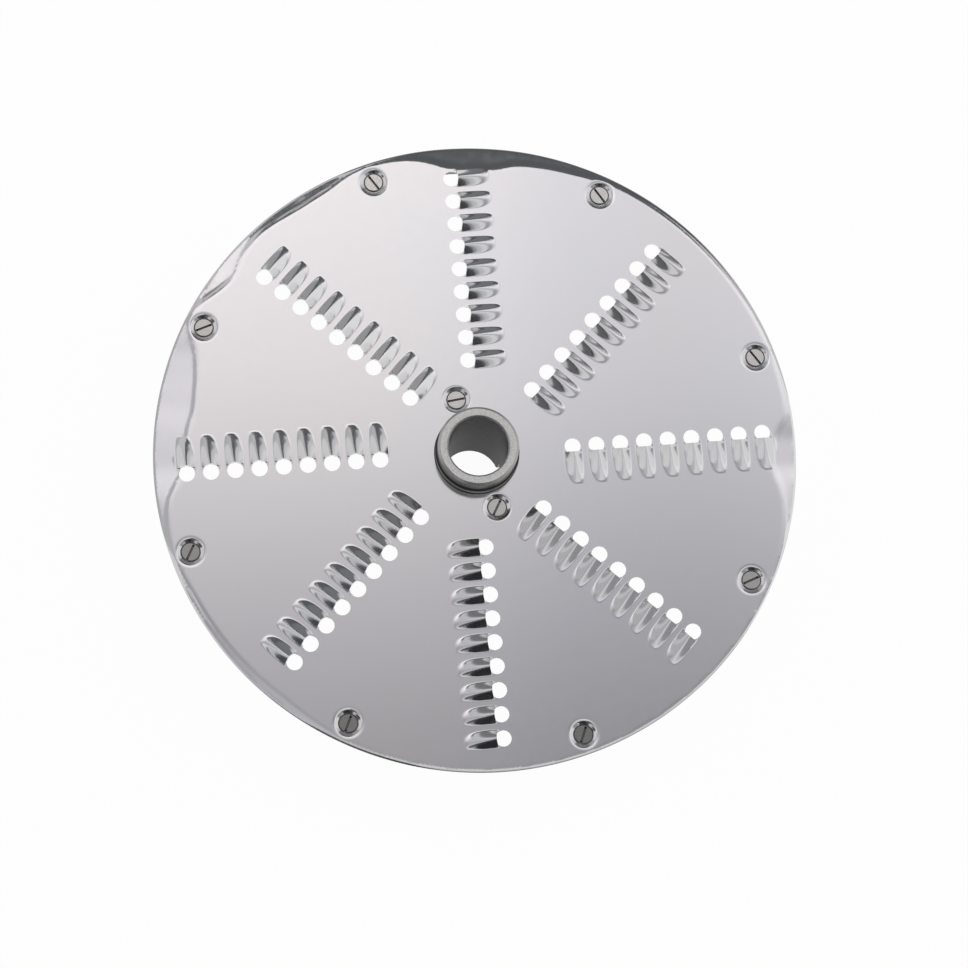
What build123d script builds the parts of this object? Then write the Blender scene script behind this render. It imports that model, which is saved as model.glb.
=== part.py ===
from build123d import *
import os
from math import atan, cos, hypot, radians, sin, sqrt, tan

# Shredding disc of a vegetable cutter: a grating sheet screwed onto a cast carrier.
# The shaft's axis is Z, the hub stands on Z = 0, and the first row of teeth lies along +X.

# Sheet
disc_diameter = 205.0
sheet = 0.8
rim_bevel_width = 10.5
rim_drop = 0.9
plate_hub_clearance = 0.2

# Hub
bore_diameter = 19.0
hub_length = 44.0
hub_above_plate = 9.0
hub_wall = 3.4
collar_step = 0.5
collar_height = 3.0
hub_chamfer = 0.8
bore_chamfer = 0.5
barrel_wall = 6.5
flange_rim_height = 3.7
flange_cone_height = 12.0
flange_margin = 0.6
drive_slot_width = 6.5
drive_slot_depth = 8.0

# Wheel of the carrier
spoke_count = 4
spoke_width = 7.0
spoke_fillet = 4.0
ring_inset = 6.7
ring_overhang = 1.2
ring_clearance = 0.3
ring_height = 4.6
boss_radius = 5.0
boss_clearance = 0.1

# Screws and the pressed dishes that they sit in
rim_screw_count = 8
rim_screw_inset = 6.5
screw_angle = 15.2
dish_depth = 0.5
countersink_radius = 3.35
rim_dish_land = 0.9
hub_dish_land = 0.5
hub_dish_gap = 0.75
head_radius = 2.95
shank_radius = 1.75
screw_length = 5.2
screw_clearance = 0.05
hole_runout = 1.0
driver_slot_width = 0.8
driver_slot_depth = 0.8
driver_slot_angles = [-57, -59, -57, 18, 61, 65, 67, 20, 7, 60]
screw_sides = 10

# Teeth
row_count = 8
row_start_gap = 4.0
row_stagger = 3.1
row_end_gap = 0.3
hole_diameter = 5.2
tooth_radius = 3.0
tooth_wall = 0.7
tooth_length = 10.0
tooth_gap = 1.744
lip_height = 2.5
lip_overlap = 0.7
hood_sides = 12
hole_sides = 10

# Heights and radii that follow
disc_radius = disc_diameter / 2
plate_top = hub_length - hub_above_plate
plate_bottom = plate_top - sheet
rim_start = disc_radius - rim_bevel_width
edge_top = plate_top - rim_drop
edge_bottom = plate_bottom - rim_drop
bore_radius = bore_diameter / 2
nose_radius = bore_radius + hub_wall
collar_radius = nose_radius + collar_step
plate_hole = collar_radius + plate_hub_clearance
barrel_radius = bore_radius + barrel_wall
rim_dish_radius = countersink_radius + rim_dish_land
hub_dish_radius = countersink_radius + hub_dish_land
dish_floor = plate_top - dish_depth
dish_underside = dish_floor - sheet
rim_screw_radius = disc_radius - rim_screw_inset
hub_screw_radius = plate_hole + hub_dish_gap + dish_depth + hub_dish_radius
flange_radius = hub_screw_radius + hub_dish_radius + dish_depth + flange_margin
flange_bottom = plate_bottom - flange_rim_height
ring_inner = disc_radius - ring_inset
ring_outer = disc_radius - ring_overhang
ring_top = plate_bottom - max(rim_drop, dish_depth) - ring_clearance
ring_bottom = ring_top - ring_height
shank_hole_radius = shank_radius + screw_clearance
head_top = dish_floor - (countersink_radius - head_radius)
head_base = head_top - (head_radius - shank_radius)
screw_tip = head_top - screw_length


def polar(radius, angle):
    return radius * cos(radians(angle)), radius * sin(radians(angle))


# Screw places: a full circle at the rim and an opposite pair beside the hub
rim_screw_angles = [screw_angle + 360 / rim_screw_count * i for i in range(rim_screw_count)]
rim_screw_points = [polar(rim_screw_radius, angle) for angle in rim_screw_angles]
hub_screw_points = [polar(hub_screw_radius, screw_angle + turn) for turn in (90, 270)]
screw_points = rim_screw_points + hub_screw_points

# Tooth places: radial rows, every other one set further out by the stagger
tooth_half_width = sqrt(tooth_radius**2 - (tooth_radius - lip_height) ** 2)
tooth_pitch = 2 * tooth_half_width + tooth_gap
row_end = ring_inner - tooth_half_width - row_end_gap
tooth_places = []
for row in range(row_count):
    row_angle = 360 / row_count * row
    row_start = flange_radius + row_start_gap + (row_stagger if row % 2 == 0 else 0)
    for step in range(int((row_end - row_start) / tooth_pitch) + 1):
        spot = polar(row_start + step * tooth_pitch, row_angle)
        tooth_places.append(Location((*spot, plate_top), (0, 0, row_angle)))

# Tooth in its own frame: hole at the origin, top of the sheet at Z = 0, hood running to -Y
hole_radius = hole_diameter / 2
lip_offset = hole_radius - lip_overlap
tooth_slope = atan(lip_height / tooth_length)
axis_height = lip_height - tooth_radius / cos(tooth_slope)
axis_direction = (0, -cos(tooth_slope), -sin(tooth_slope))
hood_plane = Plane(origin=(0, -lip_offset, axis_height), x_dir=(1, 0, 0), z_dir=axis_direction)
hood_turn = 90 + 180 / hood_sides
hood_tail = tooth_length + sheet / 2 / tan(tooth_slope)
hood_reach = tooth_length + (sheet + tooth_wall) / tan(tooth_slope)

# Outside of the hood: a sloping half-round that sinks into the sheet behind its cutting lip
with BuildPart() as tooth_hood:
    with BuildSketch(hood_plane):
        RegularPolygon(tooth_radius, hood_sides, major_radius=False, rotation=hood_turn)
    extrude(amount=2 * hood_reach, both=True)
    with Locations((0, -lip_offset, -sheet)):
        Box(
            3 * tooth_radius,
            hood_tail,
            2 * lip_height + sheet,
            align=(Align.CENTER, Align.MAX, Align.MIN),
            mode=Mode.INTERSECT,
        )

# Inside of the hood, together with the round hole in front of it
with BuildPart() as tooth_void:
    with BuildSketch(hood_plane):
        RegularPolygon(tooth_radius - tooth_wall, hood_sides, major_radius=False, rotation=hood_turn)
    extrude(amount=2 * hood_reach, both=True)
    with Locations((0, 0, -2 * sheet)):
        Box(
            3 * tooth_radius,
            hood_reach + 2 * hole_radius,
            2 * lip_height + 2 * sheet,
            align=(Align.CENTER, Align.MAX, Align.MIN),
            mode=Mode.INTERSECT,
        )
    with BuildSketch(Plane.XY.offset(-2 * sheet)):
        RegularPolygon(hole_radius, hole_sides, major_radius=False)
    extrude(amount=2 * sheet + tooth_wall / 2)


def frustum(bottom, radius, height):
    """Upright frustum that widens upwards at 45 degrees."""
    with BuildPart() as body:
        with BuildSketch(Plane.XY.offset(bottom)):
            RegularPolygon(radius, screw_sides, major_radius=False)
        extrude(amount=height, taper=-45)
    return body.part


# A dish's outside lies one sheet below its inside, and its slope one sheet further out
slope_shift = sheet * tan(radians(22.5))
inside_rise = dish_depth + rim_drop
outside_rise = dish_depth + sheet / 4
rim_dish_inside = frustum(dish_floor, rim_dish_radius, inside_rise)
hub_dish_inside = frustum(dish_floor, hub_dish_radius, inside_rise)
rim_dish_outside = frustum(dish_underside, rim_dish_radius + slope_shift, outside_rise)
hub_dish_outside = frustum(dish_underside, hub_dish_radius + slope_shift, outside_rise)

# Room for one screw: countersink for the head and a plain hole for the shank
sink_depth = countersink_radius - shank_hole_radius
with BuildPart() as screw_void:
    add(frustum(dish_floor - sink_depth, shank_hole_radius, sink_depth + screw_clearance))
    with BuildSketch(Plane.XY.offset(screw_tip - hole_runout)):
        RegularPolygon(shank_hole_radius, screw_sides, major_radius=False)
    extrude(amount=head_top - screw_tip + hole_runout)

# Grating sheet: flat disc with a bevelled rim, then hoods and dishes, then everything cut through
with BuildPart() as grater_plate:
    with BuildSketch(Plane.XZ):
        with BuildLine():
            Polyline(
                (plate_hole, plate_bottom),
                (plate_hole, plate_top),
                (rim_start, plate_top),
                (disc_radius, edge_top),
                (disc_radius, edge_bottom),
                (rim_start, plate_bottom),
                close=True,
            )
        make_face()
    revolve(axis=Axis.Z)
    with Locations(*tooth_places):
        add(tooth_hood.part)
    with Locations(*rim_screw_points):
        add(rim_dish_outside)
    with Locations(*hub_screw_points):
        add(hub_dish_outside)
    with Locations(*rim_screw_points):
        add(rim_dish_inside, mode=Mode.SUBTRACT)
    with Locations(*hub_screw_points):
        add(hub_dish_inside, mode=Mode.SUBTRACT)
    with BuildSketch(Plane.XY.offset(dish_underside)):
        with Locations(*rim_screw_points):
            RegularPolygon(boss_radius + boss_clearance, screw_sides, major_radius=False)
    extrude(amount=-rim_drop, mode=Mode.SUBTRACT)
    with Locations(*screw_points):
        add(screw_void.part, mode=Mode.SUBTRACT)
    with Locations(*tooth_places):
        add(tooth_void.part, mode=Mode.SUBTRACT)

# Carrier: hub, wheel and screw bosses in one casting
with BuildPart() as carrier:
    with BuildSketch(Plane.XZ):
        with BuildLine():
            Polyline(
                (bore_radius, 0),
                (barrel_radius, 0),
                (barrel_radius, flange_bottom - flange_cone_height),
                (flange_radius, flange_bottom),
                (flange_radius, plate_bottom),
                (collar_radius, plate_bottom),
                (collar_radius, plate_top + collar_height),
                (nose_radius, plate_top + collar_height),
                (nose_radius, hub_length),
                (bore_radius, hub_length),
                close=True,
            )
        make_face()
    revolve(axis=Axis.Z)
    hub_rims = carrier.edges().filter_by(GeomType.CIRCLE)
    bore_rims = hub_rims.filter_by(lambda rim: abs(rim.radius - bore_radius) < 0.01)
    nose_rim = hub_rims.group_by(Axis.Z)[-1].sort_by(SortBy.RADIUS)[-1]
    chamfer(nose_rim, hub_chamfer)
    chamfer(bore_rims, bore_chamfer)
    with BuildSketch(Plane.XY.offset(ring_bottom)) as wheel:
        Circle(ring_outer)
        Circle(ring_inner, mode=Mode.SUBTRACT)
        spoke_start = (bore_radius + barrel_radius) / 2
        spoke_end = (ring_inner + ring_outer) / 2
        with PolarLocations(spoke_start, spoke_count, start_angle=screw_angle):
            Rectangle(spoke_end - spoke_start, spoke_width, align=(Align.MIN, Align.CENTER))
        ring_corners = wheel.vertices().filter_by(lambda v: abs(hypot(v.X, v.Y) - ring_inner) < 0.01)
        fillet(ring_corners, radius=spoke_fillet)
    extrude(amount=ring_height)
    with BuildSketch(Plane.XY.offset(ring_bottom)):
        with Locations(*rim_screw_points):
            RegularPolygon(boss_radius, screw_sides, major_radius=False)
    extrude(amount=dish_underside - ring_bottom)
    with Locations(*hub_screw_points):
        add(hub_dish_outside, mode=Mode.SUBTRACT)
    with Locations(*screw_points):
        add(screw_void.part, mode=Mode.SUBTRACT)
    with BuildSketch(Plane.XY):
        Rectangle(3 * barrel_radius, drive_slot_width)
    extrude(amount=drive_slot_depth, mode=Mode.SUBTRACT)

# One screw without its driver slot
with BuildPart() as screw_blank:
    add(frustum(head_base, shank_radius, head_radius - shank_radius))
    with BuildSketch(Plane.XY.offset(screw_tip)):
        RegularPolygon(shank_radius, screw_sides, major_radius=False)
    extrude(amount=head_base - screw_tip)

# All ten screws, each slot turned as it was driven home
slot_places = []
for index, point in enumerate(screw_points):
    slot_angle = driver_slot_angles[index % len(driver_slot_angles)]
    slot_places.append(Location((*point, head_top), (0, 0, slot_angle)))
with BuildPart() as plate_screws:
    with Locations(*screw_points):
        add(screw_blank.part)
    with Locations(*slot_places):
        Box(3 * head_radius, driver_slot_width, 2 * driver_slot_depth, mode=Mode.SUBTRACT)

os.makedirs("parts", exist_ok=True)
grater_plate.part.label = "grater_plate"
export_step(grater_plate.part, "parts/grater_plate.step")
carrier.part.label = "carrier"
export_step(carrier.part, "parts/carrier.step")
plate_screws.part.label = "plate_screws"
export_step(plate_screws.part, "parts/plate_screws.step")
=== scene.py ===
import bpy, math
from mathutils import Matrix, Vector
from mathutils.geometry import delaunay_2d_cdt


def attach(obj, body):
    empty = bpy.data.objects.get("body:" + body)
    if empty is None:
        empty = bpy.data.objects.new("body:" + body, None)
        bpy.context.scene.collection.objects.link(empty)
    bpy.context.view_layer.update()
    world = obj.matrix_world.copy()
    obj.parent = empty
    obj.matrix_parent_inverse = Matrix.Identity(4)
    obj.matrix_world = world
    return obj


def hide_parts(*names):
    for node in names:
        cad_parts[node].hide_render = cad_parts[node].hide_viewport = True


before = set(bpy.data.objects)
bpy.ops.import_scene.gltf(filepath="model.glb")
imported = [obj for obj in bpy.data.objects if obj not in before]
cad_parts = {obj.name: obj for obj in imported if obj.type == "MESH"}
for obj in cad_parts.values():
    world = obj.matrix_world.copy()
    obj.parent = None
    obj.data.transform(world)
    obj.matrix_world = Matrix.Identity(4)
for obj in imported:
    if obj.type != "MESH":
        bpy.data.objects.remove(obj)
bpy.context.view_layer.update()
mm = 0.001
scene = bpy.context.scene
scene.view_settings.view_transform = "Standard"
print("frame loaded:", ", ".join(sorted(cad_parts)))


# small helpers
def deselectAll():
    if bpy.context.mode != "OBJECT":
        bpy.ops.object.mode_set(mode="OBJECT")
    bpy.ops.object.select_all(action="DESELECT")


def activate(piece):
    deselectAll()
    piece.select_set(True)
    bpy.context.view_layer.objects.active = piece


def editMode(piece):
    activate(piece)
    bpy.ops.object.mode_set(mode="EDIT")
    bpy.ops.mesh.select_all(action="SELECT")


def objectMode():
    bpy.ops.object.mode_set(mode="OBJECT")


def applyModifiers(piece):
    activate(piece)
    for modifier in list(piece.modifiers):
        bpy.ops.object.modifier_apply(modifier=modifier.name)


def joinPieces(pieces, name):
    deselectAll()
    for piece in pieces:
        piece.select_set(True)
    bpy.context.view_layer.objects.active = pieces[0]
    bpy.ops.object.join()
    pieces[0].name = name
    pieces[0].data.name = name
    return pieces[0]


def smoothByAngle(piece, degrees):
    activate(piece)
    bpy.ops.object.shade_smooth_by_angle(angle=math.radians(degrees))


def copyAt(piece, name, place):  # each copy has its own mesh, with its place in the mesh
    copy = bpy.data.objects.new(name, piece.data.copy())
    scene.collection.objects.link(copy)
    copy.data.transform(place)
    return copy


def startCircle(profile, around):  # open ring at the profile's first radius and height, in edit mode
    deselectAll()
    radius, height = profile[0]
    bpy.ops.mesh.primitive_circle_add(vertices=around, radius=radius, location=(0, 0, height))
    ring = bpy.context.active_object
    bpy.ops.object.transform_apply(location=True)
    bpy.ops.object.mode_set(mode="EDIT")
    bpy.ops.mesh.select_all(action="SELECT")
    return ring


def extrudeProfile(profile):  # from the selected ring on, ring by ring
    for (r0, z0), (r1, z1) in zip(profile, profile[1:]):
        bpy.ops.mesh.extrude_edges_move(TRANSFORM_OT_translate={"value": (0, 0, z1 - z0)})
        bpy.ops.transform.resize(value=(r1 / r0, r1 / r0, 1), center_override=(0, 0, z1))


def smoothStep(t):
    t = min(max(t, 0.0), 1.0)
    return t * t * (3 - 2 * t)


def polar(radius, degrees):
    return radius * math.cos(math.radians(degrees)), radius * math.sin(math.radians(degrees))


def ringPoints(radius, count):
    return [polar(radius, 360 / count * i) for i in range(count)]


# camera
cameraSet = {
    "lens": 122.73, "sensor": 36.0,
    "tilt": -14.35, "leanAxis": -16.0, "turn": 4.75,  # degrees
    "distance": 1.049, "across": -0.0023, "up": 0.0099,
    "plateTop": 0.035,
}
lean = Matrix.Rotation(math.radians(cameraSet["leanAxis"]), 3, "Z")
tip = lean @ Matrix.Rotation(math.radians(cameraSet["tilt"]), 3, "X") @ lean.transposed()
worldToView = tip @ Matrix.Rotation(math.radians(cameraSet["turn"]), 3, "Z")
shiftInView = Vector((cameraSet["across"], cameraSet["up"], -cameraSet["distance"]))
shiftInView -= worldToView @ Vector((0, 0, cameraSet["plateTop"]))
cameraData = bpy.data.cameras.new("photoCamera")
camera = bpy.data.objects.new("photoCamera", cameraData)
scene.collection.objects.link(camera)
cameraData.lens = cameraSet["lens"]
cameraData.sensor_width = cameraSet["sensor"]
cameraData.sensor_fit = "HORIZONTAL"
cameraData.dof.use_dof = False
viewToWorld = worldToView.transposed()
camera.matrix_world = Matrix.Translation(-(viewToWorld @ shiftInView)) @ viewToWorld.to_4x4()
scene.camera = camera
print("camera placed")

# grating sheet, all lengths in mm until it is finished
plateSet = {
    "top": 35.0, "sheet": 0.8, "radius": 102.5, "hubHole": 13.6,
    "rimPoints": 480, "hubPoints": 96,
    "rimSlope": 5.0,  # degrees that the rim band leans outwards
    "creaseWidth": 1.0, "creaseStep": 0.18,
    "rollWidth": 0.7, "rollSlope": 18.0, "rollRings": [0.75, 0.5, 0.25],
    "rimRingStart": 83.0, "rimRingStep": 0.8, "rimPointGap": 1.5,
    "rimClear": 0.4, "patchClear": 0.5, "pointClear": 0.45, "patchReach": 8.0,
    "formedFrom": 0.04, "formedOver": 0.3,  # height at which a pressed shape starts, and its blend
    "weld": 0.000004, "smoothAngle": 42,
    "bandSteps": 720, "bandRounds": 3, "bandReach": 2,
    # angle in the CAD frame, width of the turned-down band in mm
    "band": [
        (-30, 0.4), (-23.5, 0.4), (-18, 1.8), (-13, 3.5), (-9.7, 5.2), (-7.6, 8.2), (-0.2, 7.0),
        (1.7, 3.3), (4.8, 1.7), (15, 1.2), (35, 1.5), (60, 1.6), (64.6, 3.0), (74, 4.2),
        (78.5, 5.1), (80.8, 7.2), (90.4, 7.0), (94.4, 3.6), (98, 1.9), (102.8, 0.9), (108, 0.9),
        (113.7, 3.4), (120, 4.0), (129, 2.4), (135, 3.8), (138.5, 6.5), (142.1, 5.3), (145.1, 3.2),
        (148.2, 1.0), (150.4, 1.4), (153.5, 5.3), (155.3, 8.0), (160.6, 10.8), (167, 12.2),
        (170.5, 11.0), (179.5, 9.8), (184.2, 4.5), (186.2, 3.3), (191.5, 1.8), (195, 1.2),
        (203, 2.4), (228, 2.6), (240, 0.8), (255, 0.6), (285, 0.5), (330, 0.4),
    ],
}
toothSet = {
    "rows": 8, "perRow": 9, "firstRadius": 27.65, "stagger": 3.1, "pitch": 7.66,
    "holeRadius": 2.6, "lipOffset": 1.95, "lipHalfWidth": 3.0, "lipRecede": 0.3,
    "hoodLength": 10.4, "hoodHeight": 2.2, "hoodFall": 0.8, "tailClose": 0.5, "tailPower": 4,
    "ridgeLean": 0.1, "crestBend": 0.22, "rootSoft": 0.12, "skirt": 0.65,
    "outerBlunt": 5.0, "innerBlunt": 3.3,  # how square the tail's corners are on each side
    # sheet in front of the hole
    "frontInset": 0.12, "frontMargin": 0.3, "frontPower": 0.77,
    "footShare": 0.3, "footFlare": 0.28, "flarePower": 6,
    "lipSteps": 24, "frontSteps": 12,
    "inside": [0.0, 0.13, 0.27, 0.41, 0.55, 0.68, 0.79, 0.88, 0.95, 1.0], "outside": [0.45, 1.0],
}
dishSet = {
    "rimCount": 8, "rimRadius": 96.0, "hubCount": 2, "hubRadius": 18.7, "firstAngle": 15.2, "hubTurn": 90,
    "around": 48, "tolerance": 0.0001, "seat": -1.29,
    # radius and depth of the pressed dish, from the screw hole outwards
    "wall": [(3.0, -1.27), (3.05, -1.0), (3.15, -0.86), (3.3, -0.76), (3.5, -0.62), (3.7, -0.47), (3.9, -0.32)],
    "rimEdge": [(4.1, -0.19), (4.3, -0.1), (4.55, -0.05), (4.85, -0.02), (5.2, 0.0), (5.4, 0.0)],
    "hubEdge": [(4.08, -0.19), (4.22, -0.1), (4.4, -0.04), (4.6, 0.0), (4.85, 0.0)],
}


def screwPlaces():  # rim screws first, then the pair beside the hub
    first = dishSet["firstAngle"]
    places = [(dishSet["rimRadius"], first + 360 / dishSet["rimCount"] * i) for i in range(dishSet["rimCount"])]
    first += dishSet["hubTurn"]
    places += [(dishSet["hubRadius"], first + 360 / dishSet["hubCount"] * i) for i in range(dishSet["hubCount"])]
    return places


def bandCurve():  # width of the rim band step by step, smoothed, with its change along the rim
    table, steps, reach = plateSet["band"], plateSet["bandSteps"], plateSet["bandReach"]
    start = table[0][0]
    widths = []
    for i in range(steps):
        degrees = (i * 360 / steps - start) % 360 + start
        for (a, wa), (b, wb) in zip(table, table[1:]):
            if a <= degrees <= b:
                widths.append(wa + (wb - wa) * (degrees - a) / (b - a))
                break
    for _ in range(plateSet["bandRounds"]):
        widths = [sum(widths[(i + k) % steps] for k in range(-reach, reach + 1)) / (2 * reach + 1)
                  for i in range(steps)]
    arc = math.radians(2 * 360 / steps) * plateSet["radius"]
    change = [(widths[(i + 1) % steps] - widths[i - 1]) / arc for i in range(steps)]
    return widths, change


bandWidths, bandChanges = bandCurve()


def edgeRoll(radius):  # the very edge of the sheet rolls off
    past = max(radius - plateSet["radius"] + plateSet["rollWidth"], 0.0)
    return past * past * math.tan(math.radians(plateSet["rollSlope"])) / (2 * plateSet["rollWidth"])


def rimDrop(x, y):  # how far the sheet lies below its flat level
    radius = math.hypot(x, y)
    if radius < plateSet["rimRingStart"]:
        return 0.0
    steps = plateSet["bandSteps"]
    spot = math.degrees(math.atan2(y, x)) % 360 * (steps / 360)
    low, part = int(spot) % steps, spot - int(spot)
    high = (low + 1) % steps
    width = bandWidths[low] * (1 - part) + bandWidths[high] * part
    change = bandChanges[low] * (1 - part) + bandChanges[high] * part
    past = (radius - plateSet["radius"] + width) / math.sqrt(1 + change * change)
    half = plateSet["creaseWidth"] / 2
    slope = math.tan(math.radians(plateSet["rimSlope"]))
    if past <= -half:
        return edgeRoll(radius)
    step = plateSet["creaseStep"] * smoothStep((past + half) / (4 * half)) + edgeRoll(radius)
    if past >= half:
        return slope * past + step
    return slope * (past + half) ** 2 / (4 * half) + step


def hoodHeight(x, y):  # the pressed hood above the flat sheet, lip at y = -lipOffset
    v = max(-toothSet["lipOffset"] - y, 0.0)
    u, half, ridge = v / toothSet["hoodLength"], toothSet["lipHalfWidth"], toothSet["ridgeLean"] * v
    if u >= 1.0:
        return 0.0
    if x >= ridge:
        n, reach = toothSet["outerBlunt"], half - ridge
    else:
        n, reach = toothSet["innerBlunt"], half + ridge
    side = abs(x - ridge) / (reach * (1 - u ** n) ** (1 / n))
    if side >= 1.0:
        return 0.0
    tail = (1 - u ** toothSet["tailPower"]) ** toothSet["tailClose"]
    rise = toothSet["hoodHeight"] * (1 - toothSet["hoodFall"] * u) * tail
    bend, soft = toothSet["crestBend"], toothSet["rootSoft"]
    z = rise * (1 - (math.hypot(side, bend) - bend) / (math.hypot(1.0, bend) - bend))  # rounded tent
    return math.sqrt(z * z + soft * soft) - soft


def hoodEdge(c, s, grow):  # point of the hood's foot line, c across and s along, grown outwards
    n = toothSet["outerBlunt"] if c >= 0 else toothSet["innerBlunt"]
    v = (toothSet["hoodLength"] + grow) * s ** (2 / n)
    ridge = toothSet["ridgeLean"] * min(v, toothSet["hoodLength"])
    reach = toothSet["lipHalfWidth"] + (-ridge if c >= 0 else ridge)
    across = (1 if c >= 0 else -1) * abs(c) ** (2 / n)
    return ridge + across * (reach + grow), -toothSet["lipOffset"] - v


def toothLoops():  # hole edge, foot of the hood and outline of the pressed patch, point by point
    hole, foot, outline = [], [], []
    front, lip = toothSet["frontSteps"], toothSet["lipSteps"]
    offset, half, r = toothSet["lipOffset"], toothSet["lipHalfWidth"], toothSet["holeRadius"]
    skirt, inset, power = toothSet["skirt"], toothSet["frontInset"], toothSet["frontPower"]
    turn = math.asin(offset / r)
    chord = math.sqrt(r * r - offset * offset)
    tall = offset - inset + r + toothSet["frontMargin"] + skirt
    for i in range(front):  # right end of the lip, round the front of the hole, to the left end
        t = (i + inset) / (front - 1 + 2 * inset)
        angle = -turn + (math.pi + 2 * turn) * t
        spot = (r * math.cos(angle), r * math.sin(angle))
        c, s = math.cos(math.pi * t), math.sin(math.pi * t)
        wide = (half + skirt) * (1 if c >= 0 else -1) * abs(c) ** power
        edge = (wide, -offset + inset + tall * s ** power)
        part = toothSet["footShare"] + toothSet["footFlare"] * abs(2 * t - 1) ** toothSet["flarePower"]
        hole.append(spot)
        foot.append((spot[0] + part * (edge[0] - spot[0]), spot[1] + part * (edge[1] - spot[1])))
        outline.append(edge)
    for i in range(lip):  # along the lip from left to right
        t = i / (lip - 1)
        c, s = -math.cos(math.pi * t), math.sin(math.pi * t)
        across = 2 * t - 1
        hole.append((chord * across, -offset - toothSet["lipRecede"] * (1 - across * across)))
        foot.append(hoodEdge(c, s, 0.0))
        outline.append(hoodEdge(c, s, skirt))
    return hole, foot, outline


def toothPoint(loops, index, ring):
    hole, foot, outline = (Vector(loop[index]) for loop in loops)
    inside, outside = toothSet["inside"], toothSet["outside"]
    if ring < len(inside):
        spot = hole.lerp(foot, inside[ring])
    else:
        spot = foot.lerp(outline, outside[ring - len(inside)])
    lipPoint = index >= toothSet["frontSteps"]
    height = hoodHeight(spot.x, spot.y) if lipPoint else 0.0
    return Vector((spot.x, spot.y, height))


def makeTooth():
    loops = toothLoops()
    around = toothSet["frontSteps"] + toothSet["lipSteps"]
    rings = len(toothSet["inside"]) + len(toothSet["outside"])
    blank = [(ring + 1, 0.0) for ring in range(rings)]  # flat blank of even rings
    tooth = startCircle(blank, around)
    extrudeProfile(blank)
    objectMode()
    for vertex in tooth.data.vertices:  # the press: each ring point goes to its place on the tooth
        ring = round(vertex.co.length) - 1
        angle = math.atan2(vertex.co.y, vertex.co.x) % (2 * math.pi)
        index = round(angle / (2 * math.pi) * around) % around
        vertex.co = toothPoint(loops, index, ring)
    return tooth, [toothPoint(loops, i, rings - 1) for i in range(around)]


def makeDish(profile):
    dish = startCircle(profile, dishSet["around"])
    extrudeProfile(profile)
    objectMode()
    last, near = profile[-1][0], dishSet["tolerance"]
    rim = sorted((v.co.copy() for v in dish.data.vertices if abs(v.co.xy.length - last) < near),
                 key=lambda co: math.atan2(co.y, co.x))
    return dish, rim


def insidePatch(spot, patches):  # in a pressed patch, or too near to one
    for middle, reach, loop in patches:
        if (spot - middle).length > reach + plateSet["patchClear"]:
            continue
        turns = 0
        near = False
        for a, b in zip(loop, loop[1:] + loop[:1]):
            if (a - spot).length < plateSet["pointClear"]:
                near = True
            if (b - a).cross(spot - a) > 0:
                turns += 1
        if near or turns in (0, len(loop)):
            return True
    return False


def makeSheet(outlines):  # flat sheet between the pressed patches
    points, edges, owner = [], [], []

    def addLoop(loop, name):
        start = len(points)
        for spot in loop:
            points.append(Vector((spot[0], spot[1])))
            owner.append(name)
        for i in range(len(loop)):
            edges.append((start + i, start + (i + 1) % len(loop)))

    def addPoint(spot):
        points.append(Vector(spot))
        owner.append("grid")

    for number, loop in enumerate(outlines):
        addLoop(loop, number)
    addLoop(ringPoints(plateSet["hubHole"], plateSet["hubPoints"]), "hub")
    addLoop(ringPoints(plateSet["radius"], plateSet["rimPoints"]), "rim")
    patches = []  # those that the rim's rings have to go round
    for outline in outlines:
        loop = [Vector((p[0], p[1])) for p in outline]
        middle = sum(loop, Vector((0, 0))) / len(loop)
        reach = max((p - middle).length for p in loop)
        if middle.length > plateSet["rimRingStart"] - plateSet["patchReach"]:
            patches.append((middle, reach, loop))
    radius = plateSet["rimRingStart"]
    while radius < plateSet["radius"] - plateSet["rimClear"]:
        count = int(2 * math.pi * radius / plateSet["rimPointGap"])
        for i in range(count):
            spot = Vector(polar(radius, 360 / count * (i + 0.5 * (int(radius) % 2))))
            if not insidePatch(spot, patches):
                addPoint(spot)
        radius += plateSet["rimRingStep"]
    for back in plateSet["rollRings"]:
        for spot in ringPoints(plateSet["radius"] - back, plateSet["rimPoints"]):
            addPoint(spot)
    found = delaunay_2d_cdt(points, edges, [], 0, 1e-5)
    spots, triangles, sources = found[0], found[2], found[3]
    kept = []
    for triangle in triangles:
        names = [owner[sources[corner][0]] if sources[corner] else "grid" for corner in triangle]
        same = names[0] == names[1] == names[2]
        if same and names[0] not in ("grid", "rim"):
            continue
        kept.append(triangle)
    mesh = bpy.data.meshes.new("sheet")
    mesh.from_pydata([(p.x, p.y, 0.0) for p in spots], [], kept)
    sheet = bpy.data.objects.new("sheet", mesh)
    scene.collection.objects.link(sheet)
    return sheet


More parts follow.
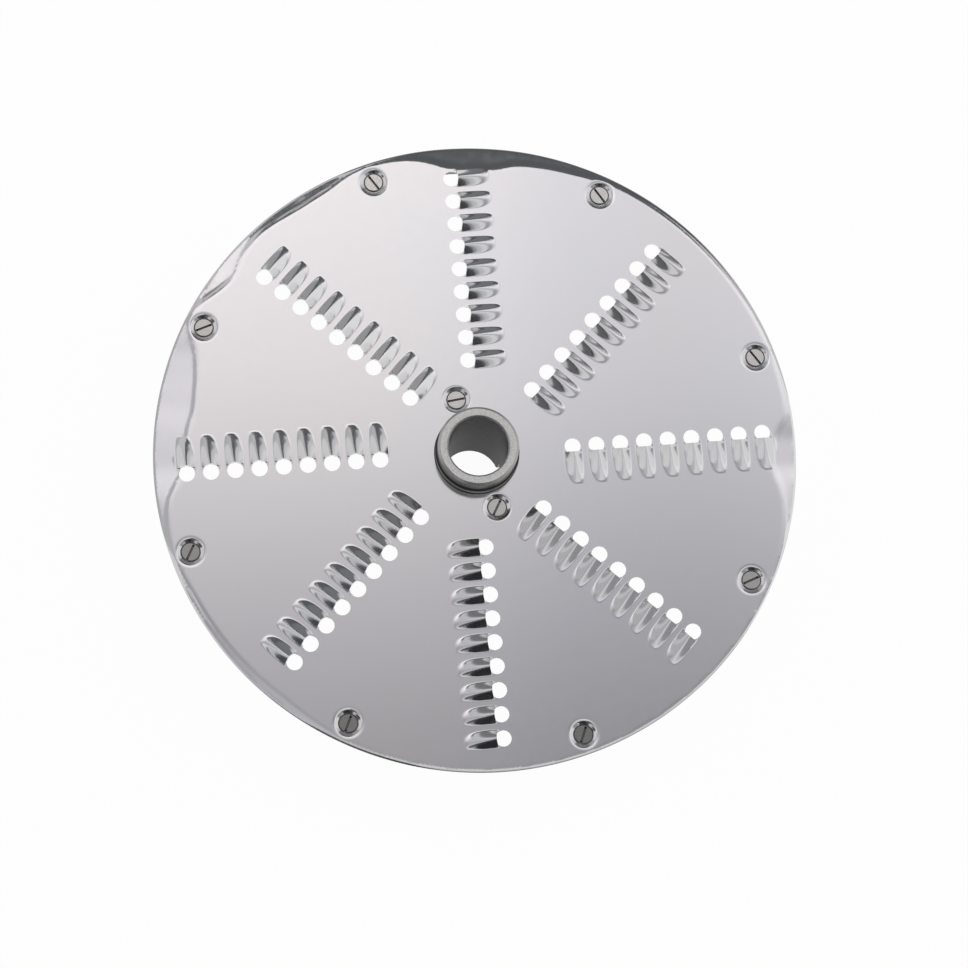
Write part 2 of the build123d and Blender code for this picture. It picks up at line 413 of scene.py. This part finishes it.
def makePlate():
    tooth, toothRim = makeTooth()
    rimDish, rimDishRim = makeDish(dishSet["wall"] + dishSet["rimEdge"])
    hubDish, hubDishRim = makeDish(dishSet["wall"] + dishSet["hubEdge"])
    copies, outlines = [], []
    for row in range(toothSet["rows"]):
        angle = 360 / toothSet["rows"] * row
        start = toothSet["firstRadius"] + (toothSet["stagger"] if row % 2 == 0 else 0)
        for step in range(toothSet["perRow"]):
            x, y = polar(start + step * toothSet["pitch"], angle)
            place = Matrix.Translation((x, y, 0)) @ Matrix.Rotation(math.radians(angle), 4, "Z")
            copies.append(copyAt(tooth, "tooth", place))
            outlines.append([place @ p for p in toothRim])
    for index, (radius, angle) in enumerate(screwPlaces()):
        dish, rim = (rimDish, rimDishRim) if index < dishSet["rimCount"] else (hubDish, hubDishRim)
        place = Matrix.Translation((*polar(radius, angle), 0))
        copies.append(copyAt(dish, "dish", place))
        outlines.append([place @ p for p in rim])
    sheet = makeSheet(outlines)
    for spare in (tooth, rimDish, hubDish):
        bpy.data.objects.remove(spare)
    plate = joinPieces([sheet] + copies, "graterPlate")
    formed = plate.data.attributes.new("formed", "FLOAT", "POINT")  # 1 on the pressed shapes, 0 on the sheet
    for vertex in plate.data.vertices:
        x, y, z = vertex.co
        formed.data[vertex.index].value = smoothStep((abs(z) - plateSet["formedFrom"]) / plateSet["formedOver"])
        vertex.co.z = z - rimDrop(x, y)
    plate.data.transform(Matrix.Scale(mm, 4))
    plate.data.transform(Matrix.Translation((0, 0, plateSet["top"] * mm)))
    editMode(plate)
    bpy.ops.mesh.remove_doubles(threshold=plateSet["weld"])
    bpy.ops.mesh.normals_make_consistent(inside=False)
    objectMode()
    if sum(face.normal.z * face.area for face in plate.data.polygons) < 0:  # top side up
        editMode(plate)
        bpy.ops.mesh.flip_normals()
        objectMode()
    thick = plate.modifiers.new("sheet", "SOLIDIFY")
    thick.thickness = plateSet["sheet"] * mm
    thick.offset = -1.0
    applyModifiers(plate)
    seat, reach = (plateSet["top"] + dishSet["seat"]) * mm, dishSet["rimEdge"][-1][0] * mm
    centres = [Vector(polar(radius, angle)) * mm for radius, angle in screwPlaces()]
    for vertex in plate.data.vertices:  # the drawn dishes thin out above the bosses
        if vertex.co.z < seat and any((vertex.co.xy - centre).length < reach for centre in centres):
            vertex.co.z = seat
    smoothByAngle(plate, plateSet["smoothAngle"])
    return plate


graterPlate = makePlate()
print("plate:", len(graterPlate.data.polygons), "faces")

# screws, in mm until they are placed
screwSet = {
    "headRadius": 2.86, "edge": 0.14, "edgeInset": 0.04, "headTop": -0.66, "headSide": 0.28, "coneDepth": 1.15,
    "shankRadius": 1.7, "tip": -6.05, "slotWidth": 0.75, "slotDepth": 1.1, "around": 48, "smoothAngle": 30,
    "slotAngles": [-57, -59, -57, 18, 61, 65, 67, 20, 7, 60],  # degrees, rim screws first, then the hub pair
    "headDarkening": [0.0, 0.0, 0.0, 0.25, 0.8, 1.0, 1.0, 0.35, 0.0, 0.1],  # how much darker each head is painted, darkest on the lower screws, same order
}


def makeScrew():
    r, shank, top = screwSet["headRadius"], screwSet["shankRadius"], screwSet["headTop"]
    edge, coneTop = screwSet["edge"], top - screwSet["headSide"]
    profile = [(r - edge, top), (r - screwSet["edgeInset"], top - edge / 2), (r, top - edge),
               (r, coneTop), (shank, coneTop - screwSet["coneDepth"]), (shank, screwSet["tip"])]
    screw = startCircle(profile, screwSet["around"])
    bpy.ops.mesh.edge_face_add()  # top of the head
    bpy.ops.mesh.select_mode(type="EDGE")
    bpy.ops.mesh.select_all(action="SELECT")
    extrudeProfile(profile)
    bpy.ops.mesh.edge_face_add()  # end of the shank
    bpy.ops.mesh.select_all(action="SELECT")
    bpy.ops.mesh.normals_make_consistent(inside=False)
    bpy.ops.mesh.select_mode(type="VERT")
    deselectAll()
    bpy.ops.mesh.primitive_cube_add(size=1.0, location=(0, 0, top))
    slot = bpy.context.active_object
    slot.data.transform(Matrix.Diagonal((3 * r, screwSet["slotWidth"], 2 * screwSet["slotDepth"], 1)))
    cut = screw.modifiers.new("slot", "BOOLEAN")
    cut.operation, cut.solver, cut.object = "DIFFERENCE", "EXACT", slot
    applyModifiers(screw)
    bpy.data.objects.remove(slot)
    return screw


def makeScrews():
    screw = makeScrew()
    copies = []
    for index, (radius, angle) in enumerate(screwPlaces()):
        x, y = polar(radius, angle)
        turn = Matrix.Rotation(math.radians(screwSet["slotAngles"][index]), 4, "Z")
        place = Matrix.Scale(mm, 4) @ Matrix.Translation((x, y, plateSet["top"])) @ turn
        copies.append(copyAt(screw, "screw", place))
        headDarkening = copies[-1].data.attributes.new("headDarkening", "FLOAT", "POINT")
        for item in headDarkening.data:
            item.value = screwSet["headDarkening"][index]
    bpy.data.objects.remove(screw)
    screws = joinPieces(copies, "plateScrews")
    smoothByAngle(screws, screwSet["smoothAngle"])
    return screws


plateScrews = makeScrews()
print("screws:", len(plateScrews.data.polygons), "faces")


# materials
def newGroup(name, inputs, outputs):  # empty shader group with its sockets
    group = bpy.data.node_groups.new(name, "ShaderNodeTree")
    for label, value in inputs:
        socket = group.interface.new_socket(name=label, in_out="INPUT", socket_type="NodeSocketFloat")
        socket.default_value = value
    for label in outputs:
        group.interface.new_socket(name=label, in_out="OUTPUT", socket_type="NodeSocketFloat")
    return group, group.nodes.new("NodeGroupInput"), group.nodes.new("NodeGroupOutput")


def mathNode(nodes, links, operation, first, second=None):
    node = nodes.new("ShaderNodeMath")
    node.operation = operation
    for index, value in enumerate((first, second)):
        if value is None:
            continue
        if isinstance(value, (int, float)):
            node.inputs[index].default_value = value
        else:
            links.new(value, node.inputs[index])
    return node.outputs[0]


def noiseNode(nodes, links, place, detail, stretch=(1, 1, 1)):
    mapping = nodes.new("ShaderNodeMapping")
    mapping.inputs["Scale"].default_value = stretch
    links.new(place, mapping.inputs["Vector"])
    noise = nodes.new("ShaderNodeTexNoise")
    noise.inputs["Scale"].default_value = 1.0
    noise.inputs["Detail"].default_value = detail
    links.new(mapping.outputs[0], noise.inputs["Vector"])
    return noise.outputs["Fac"]


def fitNode(nodes, links, value, low, high, toLow, toHigh):
    node = nodes.new("ShaderNodeMapRange")
    for label, number in zip(("From Min", "From Max", "To Min", "To Max"), (low, high, toLow, toHigh)):
        node.inputs[label].default_value = number
    links.new(value, node.inputs["Value"])
    return node.outputs[0]


def mixColour(nodes, links, factor, first, second, blend="MIX"):
    node = nodes.new("ShaderNodeMix")
    node.data_type = "RGBA"
    node.blend_type = blend
    if isinstance(factor, (int, float)):
        node.inputs["Factor"].default_value = factor
    else:
        links.new(factor, node.inputs["Factor"])
    for socket, value in ((node.inputs["A"], first), (node.inputs["B"], second)):
        if isinstance(value, tuple):
            socket.default_value = (*value, 1)
        else:
            links.new(value, socket)
    return node.outputs["Result"]


def rampNode(nodes, links, value, stops):  # colours along a value, from the first stop to the last
    low, high = stops[0][0], stops[-1][0]
    ramp = nodes.new("ShaderNodeValToRGB")
    ramp.color_ramp.interpolation = "LINEAR"
    elements = ramp.color_ramp.elements
    while len(elements) < len(stops):
        elements.new(0.5)
    for element, (spot, colour) in zip(elements, stops):
        element.position = (spot - low) / (high - low)
        element.color = (*colour, 1)
    links.new(fitNode(nodes, links, value, low, high, 0.0, 1.0), ramp.inputs["Fac"])
    return ramp.outputs["Color"]


def objectPlace(nodes, links):  # place on the piece, and its x, y and z
    place = nodes.new("ShaderNodeTexCoord").outputs["Object"]
    split = nodes.new("ShaderNodeSeparateXYZ")
    links.new(place, split.inputs[0])
    return place, split.outputs["X"], split.outputs["Y"], split.outputs["Z"]


wearSet = {"cloudDetail": 3.0, "grainDetail": 4.0, "cells": 55.0, "rare": (0.86, 0.9), "dot": (0.02, 0.05)}


def makeWearGroup():  # handling wear that all three metals share: cloudy tone, fine grain, sparse specks
    group, source, result = newGroup(
        "handlingWear", [("Cloud Scale", 25.0), ("Grain Scale", 900.0)], ["Cloud", "Grain", "Specks"])
    nodes, links = group.nodes, group.links
    place = nodes.new("ShaderNodeTexCoord").outputs["Object"]
    for label, detail in (("Cloud", wearSet["cloudDetail"]), ("Grain", wearSet["grainDetail"])):
        noise = nodes.new("ShaderNodeTexNoise")
        noise.inputs["Detail"].default_value = detail
        links.new(place, noise.inputs["Vector"])
        links.new(source.outputs[label + " Scale"], noise.inputs["Scale"])
        links.new(noise.outputs["Fac"], result.inputs[label])
    cells = nodes.new("ShaderNodeTexVoronoi")
    cells.inputs["Scale"].default_value = wearSet["cells"]
    links.new(place, cells.inputs["Vector"])
    pick = nodes.new("ShaderNodeSeparateColor")
    links.new(cells.outputs["Color"], pick.inputs[0])
    rare = fitNode(nodes, links, pick.outputs["Red"], *wearSet["rare"], 0.0, 1.0)
    dot = fitNode(nodes, links, cells.outputs["Distance"], *wearSet["dot"], 1.0, 0.0)
    links.new(mathNode(nodes, links, "MULTIPLY", rare, dot), result.inputs["Specks"])
    return group


wearGroup = makeWearGroup()
grainRange = (0.3, 0.7)  # where the grain noise lies


def startMaterial(name, settings):  # metal with the shared wear, its grain in the roughness
    material = bpy.data.materials.new(name)
    material.use_nodes = True
    nodes, links = material.node_tree.nodes, material.node_tree.links
    shader = nodes["Principled BSDF"]
    shader.inputs["Metallic"].default_value = 1.0
    wear = nodes.new("ShaderNodeGroup")
    wear.node_tree = wearGroup
    wear.inputs["Cloud Scale"].default_value = settings["cloudScale"]
    wear.inputs["Grain Scale"].default_value = settings["grainScale"]
    rough = fitNode(nodes, links, wear.outputs["Grain"], *grainRange, *settings["rough"])
    links.new(rough, shader.inputs["Roughness"])
    return material, nodes, links, shader, wear, rough


def addBump(nodes, links, shader, height, strength, distance):
    bump = nodes.new("ShaderNodeBump")
    bump.inputs["Strength"].default_value = strength
    bump.inputs["Distance"].default_value = distance
    links.new(height, bump.inputs["Height"])
    links.new(bump.outputs[0], shader.inputs["Normal"])


def meshValue(nodes, name):  # a value that is kept on the piece's points
    node = nodes.new("ShaderNodeAttribute")
    node.attribute_name = name
    return node.outputs["Fac"]


steelSet = {
    "tone": (0.745, 0.735, 0.735), "tint": (0.735, 0.735, 0.745), "cloud": (0.35, 0.65),
    "speck": (0.42, 0.36, 0.37), "speckShare": 0.35, "rough": (0.085, 0.13), "formedRough": 0.06,
    "cloudScale": 22.0, "grainScale": 420.0, "ripple": (0.03, 0.0005),
}


def makePolishedSteel():
    material, nodes, links, shader, wear, rough = startMaterial("polishedSteel", steelSet)
    cloud = fitNode(nodes, links, wear.outputs["Cloud"], *steelSet["cloud"], 0.0, 1.0)
    colour = mixColour(nodes, links, cloud, steelSet["tone"], steelSet["tint"])
    specks = mathNode(nodes, links, "MULTIPLY", wear.outputs["Specks"], steelSet["speckShare"])
    links.new(mixColour(nodes, links, specks, colour, steelSet["speck"]), shader.inputs["Base Color"])
    satin = mathNode(nodes, links, "MULTIPLY", meshValue(nodes, "formed"), steelSet["formedRough"])
    links.new(mathNode(nodes, links, "ADD", rough, satin), shader.inputs["Roughness"])
    addBump(nodes, links, shader, wear.outputs["Cloud"], *steelSet["ripple"])
    return material


castSet = {
    "tone": (0.29, 0.29, 0.28), "dark": (0.17, 0.17, 0.165),
    "turned": (0.97, 0.96, 0.925), "turnedLow": (0.5, 0.495, 0.475), "worn": (0.7, 1.3),
    "topHeight": 0.0432, "topBlend": 0.0006, "flat": (0.55, 0.95),
    # bore colour: painted shade for the inside of the hub's bore
    "boreShade": (0.05, 0.048, 0.046), "boreRadius": 0.0099, "boreBlend": 0.0002, "boreShine": 0.11, "wallFlat": 0.2,
    "lineScale": 5200.0, "ringScale": 3800.0, "lineDetail": 2.0, "marks": (0.25, 0.0001),
    # height in metres on the hub's wall and how light it is painted there, for the turned rings: painted
    # highlight rings and painted shade bands
    "wallRingLight": [(0.0345, 1.0), (0.0350, 0.5), (0.0357, 0.6), (0.0362, 1.5), (0.0376, 1.4), (0.0379, 0.4),
                  (0.0388, 0.45), (0.0394, 1.0), (0.0418, 1.25), (0.0428, 1.5), (0.0432, 1.8)],
    "rough": (0.36, 0.55), "cloudScale": 160.0, "grainScale": 2600.0,
}


def makeCastAluminium():
    material, nodes, links, shader, wear, rough = startMaterial("castAluminium", castSet)
    place, x, y, z = objectPlace(nodes, links)
    across = mathNode(nodes, links, "MULTIPLY", x, x)
    along = mathNode(nodes, links, "MULTIPLY", y, y)
    radius = mathNode(nodes, links, "SQRT", mathNode(nodes, links, "ADD", across, along))
    cast = mixColour(nodes, links, wear.outputs["Cloud"], castSet["dark"], castSet["tone"])
    # painted highlight rings and painted shade bands up the hub's wall, by height
    paintedWallRings = rampNode(nodes, links, z, [(height, (tone, tone, tone)) for height, tone in castSet["wallRingLight"]])
    wall = mixColour(nodes, links, 1.0, cast, paintedWallRings, "MULTIPLY")
    facing = nodes.new("ShaderNodeNewGeometry")
    facingSplit = nodes.new("ShaderNodeSeparateXYZ")
    links.new(facing.outputs["Normal"], facingSplit.inputs[0])
    flat = fitNode(nodes, links, facingSplit.outputs["Z"], *castSet["flat"], 0.0, 1.0)
    high = fitNode(nodes, links, z, castSet["topHeight"] - castSet["topBlend"], castSet["topHeight"], 0.0, 1.0)
    turned = mathNode(nodes, links, "MULTIPLY", flat, high)
    ringPlace = nodes.new("ShaderNodeCombineXYZ")  # fine rings on the turned end face
    links.new(mathNode(nodes, links, "MULTIPLY", radius, castSet["ringScale"]), ringPlace.inputs["X"])
    rings = noiseNode(nodes, links, ringPlace.outputs[0], castSet["lineDetail"])
    ringWear = mathNode(nodes, links, "ADD", wear.outputs["Grain"], rings)
    worn = fitNode(nodes, links, ringWear, *castSet["worn"], 0.0, 1.0)
    bright = mixColour(nodes, links, worn, castSet["turnedLow"], castSet["turned"])
    colour = mixColour(nodes, links, turned, wall, bright)
    # painted shade in the hub's bore: its upright wall is painted dark and non-metallic
    edge, blend = castSet["boreRadius"], castSet["boreBlend"]
    boreShade = fitNode(nodes, links, radius, edge - blend, edge + blend, 1.0, 0.0)
    upright = fitNode(nodes, links, flat, 0.0, castSet["wallFlat"], 1.0, 0.0)
    boreShadeMask = mathNode(nodes, links, "MULTIPLY", boreShade, upright)
    links.new(mixColour(nodes, links, boreShadeMask, colour, castSet["boreShade"]), shader.inputs["Base Color"])
    links.new(fitNode(nodes, links, boreShadeMask, 0.0, 1.0, 1.0, 0.0), shader.inputs["Metallic"])
    shader.inputs["Specular IOR Level"].default_value = castSet["boreShine"]
    lines = noiseNode(nodes, links, place, castSet["lineDetail"], (1, 1, castSet["lineScale"]))  # turning marks
    addBump(nodes, links, shader, mathNode(nodes, links, "ADD", lines, wear.outputs["Grain"]), *castSet["marks"])
    return material


screwMetal = {
    "tone": (0.66, 0.645, 0.62), "dark": (0.45, 0.43, 0.41), "cleanShare": 0.6, "rough": (0.16, 0.28),
    # slot colour: painted shade inside the screw slot
    "darkenedHead": (0.3, 0.295, 0.285), "slot": (0.15, 0.145, 0.135), "slotTop": 0.0341, "slotFloor": 0.0337,
    "cloudScale": 320.0, "grainScale": 1400.0, "marks": (0.15, 0.0001),
}


def makeScrewSteel():
    material, nodes, links, shader, wear, rough = startMaterial("screwSteel", screwMetal)
    worn = mixColour(nodes, links, wear.outputs["Cloud"], screwMetal["dark"], screwMetal["tone"])
    clean = mixColour(nodes, links, screwMetal["cleanShare"], worn, screwMetal["tone"])
    # heads painted darker by a set amount per screw, darkest on the lower screws
    head = mixColour(nodes, links, meshValue(nodes, "headDarkening"), clean, screwMetal["darkenedHead"])
    place, x, y, z = objectPlace(nodes, links)
    slotShade = fitNode(nodes, links, z, screwMetal["slotFloor"], screwMetal["slotTop"], 1.0, 0.0)  # painted shade in the slot, darker towards its floor
    links.new(mixColour(nodes, links, slotShade, head, screwMetal["slot"]), shader.inputs["Base Color"])
    addBump(nodes, links, shader, wear.outputs["Grain"], *screwMetal["marks"])
    return material


for piece, node, slotName, material in (
    (graterPlate, "grater_plate", "plate_steel", makePolishedSteel()),
    (plateScrews, "plate_screws", "screw_steel", makeScrewSteel()),
):
    piece.data.materials.clear()
    piece.data.materials.append(material)
    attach(piece, "root")
    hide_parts(node)
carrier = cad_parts["carrier"]
carrier.data.materials.clear()
carrier.data.materials.append(makeCastAluminium())
print("materials made")

# studio
studioSet = {
    "floorSize": 8.0, "floorGlow": 0.962, "floorDiffuse": 0.05, "floorBounce": 0.8,
    "turn": -4.75, "height": 1.4, "wallThin": 0.05,
    "ceilingX": (-1.9, 1.9), "ceilingY": (-0.50, 0.76),
    # position in metres on the ceiling card and tone, first along, then across
    "ceilingAlong": [(-0.50, (0.74, 0.74, 0.76)), (-0.2, (0.62, 0.62, 0.635)), (0.0, (0.46, 0.455, 0.47)),
                     (0.1, (0.43, 0.425, 0.44)), (0.25, (0.67, 0.66, 0.685)),
                     (0.42, (1.04, 1.015, 1.03)), (0.60, (1.25, 1.21, 1.215)), (0.76, (1.27, 1.24, 1.24))],
    "ceilingAcross": [(-1.9, (0.9, 0.9, 0.92)), (-0.95, (0.83, 0.83, 0.86)), (-0.66, (0.70, 0.70, 0.73)),
                      (-0.45, (0.86, 0.86, 0.90)), (-0.15, (1.0, 0.985, 0.985)), (0.03, (0.95, 0.945, 0.945)),
                      (0.1, (0.90, 0.90, 0.915)), (0.16, (0.79, 0.80, 0.825)), (0.26, (0.75, 0.76, 0.78)),
                      (0.45, (0.88, 0.88, 0.90)), (1.9, (1.0, 1.0, 1.0))],
    # name: corners x0, x1, y0, y1, z0, z1 and tone
    "flags": {
        "backFlag": ((-0.17, 0.62, 0.765, 1.75, 1.4, 1.4), (0.11, 0.117, 0.123)),
        "backLeftFlag": ((-0.38, -0.17, 0.765, 1.0, 1.4, 1.4), (0.11, 0.117, 0.123)),
        "backRightFlag": ((0.62, 1.25, 1.15, 1.75, 1.4, 1.4), (0.09, 0.095, 0.1)),
        "backWall": ((-0.6, 1.6, 1.76, 1.76, 0.02, 1.4), (0.2, 0.207, 0.214)),
        "backLeftWall": ((-1.94, -0.6, 1.76, 1.76, 0.02, 1.4), (0.38, 0.384, 0.39)),
        "frontLeftFlag": ((-0.3, -0.12, -2.4, -0.505, 1.4, 1.4), (0.03, 0.031, 0.033)),
        "frontLeftFar": ((-1.15, -0.3, -2.4, -0.505, 1.4, 1.4), (0.13, 0.132, 0.136)),
        "frontRightFlag": ((-0.12, 1.4, -0.9, -0.505, 1.4, 1.4), (0.62, 0.625, 0.635)),
        "frontRightMid": ((-0.12, 1.4, -1.25, -0.9, 1.4, 1.4), (0.36, 0.364, 0.372)),
        "frontMiddleLow": ((-0.12, 0.45, -2.4, -1.25, 1.4, 1.4), (0.022, 0.0225, 0.024)),
        "frontRightLow": ((0.45, 1.4, -2.4, -1.25, 1.4, 1.4), (0.06, 0.062, 0.065)),
        "frontWall": ((-1.2, 1.5, -2.4, -2.4, 0.02, 1.4), (0.025, 0.026, 0.0275)),
        "frontSoft": ((-0.06, 0.8, -0.5, -0.1, 1.395, 1.395), (0.8, 0.8, 0.81)),
        "leftSoft": ((-1.9, -0.5, -0.35, 0.1, 1.39, 1.39), (0.8, 0.8, 0.81)),
        "leftBackSoft": ((-1.9, -0.5, 0.1, 0.98, 1.39, 1.39), (0.52, 0.52, 0.53)),
        "rightSoft": ((0.8, 1.9, -0.45, 0.7, 1.39, 1.39), (0.95, 0.95, 0.96)),
        "leftWall": ((-1.95, -1.94, -0.35, 1.2, 0.02, 1.4), (0.76, 0.76, 0.77)),
        "rightWall": ((1.94, 1.95, -0.8, 1.3, 0.02, 1.4), (0.84, 0.84, 0.85)),
        "rightFrontFlag": ((1.4, 1.94, -1.6, -0.455, 1.4, 1.4), (0.34, 0.344, 0.352)),
        "rightFrontWall": ((1.94, 1.95, -2.4, -0.8, 0.02, 1.4), (0.32, 0.324, 0.332)),
        "leftFrontWall": ((-1.95, -1.94, -2.4, -0.35, 0.02, 1.4), (0.06, 0.063, 0.067)),
    },
    "worldTone": (0.66, 0.66, 0.685),
}


def blankMaterial(name):
    material = bpy.data.materials.new(name)
    material.use_nodes = True
    material.node_tree.nodes.clear()
    return material, material.node_tree.nodes, material.node_tree.links


def makeFloor():
    deselectAll()
    bpy.ops.mesh.primitive_plane_add(size=studioSet["floorSize"], location=(0, 0, 0))
    floor = bpy.context.active_object
    floor.name = "floor"
    material, nodes, links = blankMaterial("floorWhite")
    output = nodes.new("ShaderNodeOutputMaterial")
    plain = nodes.new("ShaderNodeBsdfDiffuse")  # seen by the light that bounces
    plain.inputs["Color"].default_value = (*[studioSet["floorBounce"]] * 3, 1)
    faint = nodes.new("ShaderNodeBsdfDiffuse")
    faint.inputs["Color"].default_value = (*[studioSet["floorDiffuse"]] * 3, 1)
    glow = nodes.new("ShaderNodeEmission")
    glow.inputs["Strength"].default_value = studioSet["floorGlow"]
    both = nodes.new("ShaderNodeAddShader")
    path = nodes.new("ShaderNodeLightPath")
    seen = mathNode(nodes, links, "MAXIMUM", path.outputs["Is Camera Ray"], path.outputs["Is Glossy Ray"])
    seen = mathNode(nodes, links, "MAXIMUM", seen, path.outputs["Is Transmission Ray"])
    mix = nodes.new("ShaderNodeMixShader")
    links.new(seen, mix.inputs["Fac"])
    links.new(plain.outputs[0], mix.inputs[1])
    links.new(glow.outputs[0], both.inputs[0])
    links.new(faint.outputs[0], both.inputs[1])
    links.new(both.outputs[0], mix.inputs[2])
    links.new(mix.outputs[0], output.inputs["Surface"])
    floor.data.materials.append(material)


def makeCard(name, x0, x1, y0, y1, z0, z1):  # flat or upright card, turned with the photo's frame
    deselectAll()
    bpy.ops.mesh.primitive_plane_add(size=1.0, location=(0, 0, 0))
    card = bpy.context.active_object
    card.name = name
    sideWall = x1 - x0 < studioSet["wallThin"]  # stands along Y
    for vertex in card.data.vertices:
        right, far = vertex.co.x > 0, vertex.co.y > 0
        upper = right if sideWall else far
        vertex.co = (x1 if right else x0, y1 if far else y0, z1 if upper else z0)
    card.rotation_euler.z = math.radians(studioSet["turn"])
    card.visible_camera = False
    material, nodes, links = blankMaterial(name)
    output = nodes.new("ShaderNodeOutputMaterial")
    glow = nodes.new("ShaderNodeEmission")
    links.new(glow.outputs[0], output.inputs["Surface"])
    card.data.materials.append(material)
    return nodes, links, glow.inputs["Color"]


def makeSoftCeiling():
    height = studioSet["height"]
    nodes, links, tone = makeCard("softCeiling", *studioSet["ceilingX"], *studioSet["ceilingY"], height, height)
    place, x, y, z = objectPlace(nodes, links)
    along = rampNode(nodes, links, y, studioSet["ceilingAlong"])
    across = rampNode(nodes, links, x, studioSet["ceilingAcross"])
    links.new(mixColour(nodes, links, 1.0, along, across, "MULTIPLY"), tone)


def makeFlags():
    for name, (corners, tone) in studioSet["flags"].items():
        makeCard(name, *corners)[2].default_value = (*tone, 1)


def makeWorld():
    world = bpy.data.worlds.new("studio")
    scene.world = world
    world.use_nodes = True
    nodes, links = world.node_tree.nodes, world.node_tree.links
    nodes.clear()
    output = nodes.new("ShaderNodeOutputWorld")
    room = nodes.new("ShaderNodeBackground")
    room.inputs["Color"].default_value = (*studioSet["worldTone"], 1)
    white = nodes.new("ShaderNodeBackground")
    white.inputs["Color"].default_value = (1, 1, 1, 1)
    path = nodes.new("ShaderNodeLightPath")
    mix = nodes.new("ShaderNodeMixShader")
    links.new(path.outputs["Is Camera Ray"], mix.inputs["Fac"])
    links.new(room.outputs[0], mix.inputs[1])
    links.new(white.outputs[0], mix.inputs[2])
    links.new(mix.outputs[0], output.inputs["Surface"])


makeFloor()
makeSoftCeiling()
makeFlags()
makeWorld()
print("studio ready")
